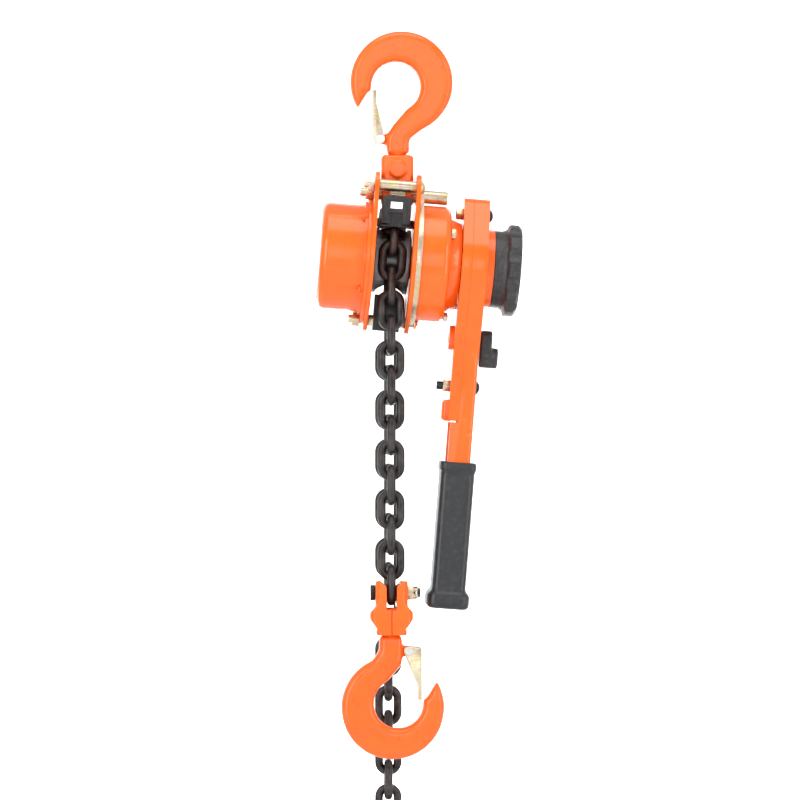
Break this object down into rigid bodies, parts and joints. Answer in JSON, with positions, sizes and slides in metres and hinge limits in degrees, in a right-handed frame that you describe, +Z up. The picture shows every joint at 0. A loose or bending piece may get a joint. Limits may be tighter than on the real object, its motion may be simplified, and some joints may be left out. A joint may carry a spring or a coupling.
{
  "type": "lever chain hoist",
  "caption": "Lever chain hoist: two swivel hooks with sprung latches, load chain over a pocket sheave, gear case, brake drum, ratchet lever and handwheel.",
  "frame": {"origin": "centre of the top hook's bowl, where the hoist hangs", "axes": "+Z up along the hanging chain, the load chain at the front (-Y), gear case at -X, lever and handwheel at +X"},
  "size_m": [0.15, 0.088, 0.6735],
  "materials": {
    "orange_paint": "glossy orange enamel over cast and pressed steel",
    "orange_hook": "glossy orange paint over forged steel",
    "black_chain": "blackened hardened steel, lightly oiled",
    "yellow_zinc": "yellow chromate over zinc plating",
    "bright_zinc": "clear zinc plating",
    "black_casting": "black painted casting",
    "gear_steel": "hardened and oiled gear steel",
    "dark_steel": "black oxide steel",
    "brake_lining": "resin-bonded brake lining",
    "bronze": "sintered bronze",
    "spring_steel": "drawn spring steel wire",
    "black_plastic": "grained black moulded plastic",
    "black_rubber": "smooth black rubber"
  },
  "bodies": {
    "top_hook": {"top_hook": "orange_hook", "top_latch_rivet": "bright_zinc"},
    "top_latch": {"top_latch": "yellow_zinc"},
    "top_yoke": {"top_yoke": "orange_paint"},
    "hoist_frame": {"gear_side_plate": "orange_paint", "brake_side_plate": "orange_paint", "gear_case_plate": "orange_paint", "ratchet_plate": "yellow_zinc", "suspension_pin": "yellow_zinc", "stay_bolts": "yellow_zinc", "rod_nuts": "yellow_zinc", "sheave_bearings": "gear_steel", "chain_guide": "black_casting", "chain_stripper": "black_casting", "gear_cover": "orange_paint", "gear_cover_screws": "orange_paint", "idler_bushes": "bronze", "brake_cover": "orange_paint", "brake_cover_studs": "yellow_zinc", "pawl_pins": "dark_steel", "pawl_springs": "spring_steel"},
    "load_sheave": {"load_sheave": "gear_steel", "load_gear": "gear_steel", "load_gear_snap_ring": "spring_steel", "wrapped_chain": "black_chain"},
    "front_idler": {"front_idler_gear": "gear_steel"},
    "rear_idler": {"rear_idler_gear": "gear_steel"},
    "drive_shaft": {"drive_shaft": "gear_steel", "friction_hub": "gear_steel", "brake_linings": "brake_lining", "change_gear": "gear_steel", "end_washer": "bright_zinc", "shaft_nut": "bright_zinc", "shaft_split_pin": "bright_zinc"},
    "handwheel": {"handwheel": "black_plastic", "freewheel_spring": "spring_steel"},
    "ratchet_disc": {"ratchet_disc": "gear_steel"},
    "front_pawl": {"front_ratchet_pawl": "gear_steel"},
    "rear_pawl": {"rear_ratchet_pawl": "gear_steel"},
    "lever": {"lever_outer_half": "orange_paint", "lever_inner_half": "orange_paint", "lever_bolts": "dark_steel", "lever_nuts": "yellow_zinc", "lever_grip": "black_rubber", "detent_spring": "spring_steel"},
    "selector": {"selector_knob": "black_plastic", "change_pawl": "gear_steel"},
    "detent": {"detent_plunger": "gear_steel"},
    "load_run": {"load_chain": "black_chain"},
    "slack_run": {"slack_chain": "black_chain", "chain_end_ring": "black_chain"},
    "bottom_yoke": {"bottom_yoke_left_half": "orange_paint", "bottom_yoke_right_half": "orange_paint", "chain_bolt": "dark_steel", "chain_bolt_nut": "yellow_zinc", "chain_bolt_split_pin": "bright_zinc"},
    "bottom_hook": {"bottom_hook": "orange_hook", "bottom_latch_rivet": "bright_zinc"},
    "bottom_latch": {"bottom_latch": "yellow_zinc"}
  },
  "joints": [
    {"name": "top_latch_hinge", "type": "hinge", "parent": "top_hook", "child": "top_latch", "pos_m": [-0.0114, 0, -0.038], "axis": [0, 1, 0], "range_deg": [0, 30], "stiffness_Nm_per_rad": 0.02, "springref_deg": -34.38},
    {"name": "top_swivel", "type": "hinge", "parent": "top_hook", "child": "top_yoke", "pos_m": [0.001, 0, -0.06], "axis": [0, 0, 1], "continuous": true},
    {"name": "body_swing", "type": "hinge", "parent": "top_yoke", "child": "hoist_frame", "pos_m": [0.00019, 0, -0.07815], "axis": [0.9969, 0, -0.0785], "range_deg": [-25, 25]},
    {"name": "sheave_turn", "type": "hinge", "parent": "hoist_frame", "child": "load_sheave", "pos_m": [-0.0036, 0.0017, -0.1263], "axis": [0.9969, 0, -0.0785], "range_deg": [-8, 8]},
    {"name": "front_idler_turn", "type": "hinge", "parent": "hoist_frame", "child": "front_idler", "pos_m": [-0.0036, -0.0179, -0.1263], "axis": [0.9969, 0, -0.0785], "range_deg": [-24, 24]},
    {"name": "rear_idler_turn", "type": "hinge", "parent": "hoist_frame", "child": "rear_idler", "pos_m": [-0.0036, 0.0213, -0.1263], "axis": [0.9969, 0, -0.0785], "range_deg": [-24, 24]},
    {"name": "drive_turn", "type": "hinge", "parent": "hoist_frame", "child": "drive_shaft", "pos_m": [-0.0036, 0.0017, -0.1263], "axis": [0.9969, 0, -0.0785], "range_deg": [-60, 60]},
    {"name": "load_run_follow", "type": "hinge", "parent": "load_sheave", "child": "load_run", "pos_m": [-0.00455, -0.01876, -0.13832], "axis": [0.9969, 0, -0.0785], "range_deg": [-8, 8]},
    {"name": "slack_run_follow", "type": "hinge", "parent": "load_sheave", "child": "slack_run", "pos_m": [-0.00455, 0.02216, -0.13832], "axis": [0.9969, 0, -0.0785], "range_deg": [-8, 8]},
    {"name": "handwheel_pull", "type": "slide", "parent": "drive_shaft", "child": "handwheel", "axis": [0.9969, 0, -0.0785], "range_m": [0, 0.005], "stiffness_N_per_m": 400, "springref_m": -0.004, "deforming": ["freewheel_spring"]},
    {"name": "ratchet_turn", "type": "hinge", "parent": "hoist_frame", "child": "ratchet_disc", "pos_m": [-0.0036, 0.0017, -0.1263], "axis": [0.9969, 0, -0.0785], "range_deg": [0, 12], "deforming": ["pawl_springs"]},
    {"name": "front_pawl_lift", "type": "hinge", "parent": "hoist_frame", "child": "front_pawl", "pos_m": [0.02388, -0.01442, -0.16019], "axis": [0.9969, 0, -0.0785], "range_deg": [-14.4, 0]},
    {"name": "rear_pawl_lift", "type": "hinge", "parent": "hoist_frame", "child": "rear_pawl", "pos_m": [0.02884, 0.01782, -0.09712], "axis": [0.9969, 0, -0.0785], "range_deg": [-14.4, 0]},
    {"name": "lever_turn", "type": "hinge", "parent": "hoist_frame", "child": "lever", "pos_m": [0.05622, 0.0017, -0.13101], "axis": [0.9969, 0, -0.0785], "continuous": true},
    {"name": "selector_turn", "type": "hinge", "parent": "lever", "child": "selector", "pos_m": [0.05214, 0.0017, -0.18285], "axis": [0.9969, 0, -0.0785], "range_deg": [-12.5, 12.5]},
    {"name": "detent_press", "type": "slide", "parent": "lever", "child": "detent", "axis": [-0.0785, 0, -0.9969], "range_m": [0, 0.0012], "stiffness_N_per_m": 600, "springref_m": -0.003, "deforming": ["detent_spring"]},
    {"name": "bottom_yoke_swing", "type": "hinge", "parent": "load_run", "child": "bottom_yoke", "pos_m": [-0.00431, -0.01876, -0.366], "axis": [1, 0, 0], "range_deg": [-30, 6]},
    {"name": "bottom_swivel", "type": "hinge", "parent": "bottom_yoke", "child": "bottom_hook", "pos_m": [-0.00431, -0.01876, -0.3858], "axis": [0, 0, 1], "range_deg": [-45, 45]},
    {"name": "bottom_latch_hinge", "type": "hinge", "parent": "bottom_hook", "child": "bottom_latch", "pos_m": [0.00809, -0.01876, -0.4078], "axis": [0, 1, 0], "range_deg": [0, 30], "stiffness_Nm_per_rad": 0.02, "springref_deg": -34.38}
  ],
  "couplings": [
    {"joint": "front_idler_turn", "follows": "sheave_turn", "ratio": -3},
    {"joint": "rear_idler_turn", "follows": "sheave_turn", "ratio": -3},
    {"joint": "drive_turn", "follows": "sheave_turn", "ratio": 7.5},
    {"joint": "load_run_follow", "follows": "sheave_turn", "ratio": -1},
    {"joint": "slack_run_follow", "follows": "sheave_turn", "ratio": -1},
    {"joint": "front_pawl_lift", "follows": "ratchet_turn", "ratio": -1.2},
    {"joint": "rear_pawl_lift", "follows": "ratchet_turn", "ratio": -1.2}
  ]
}
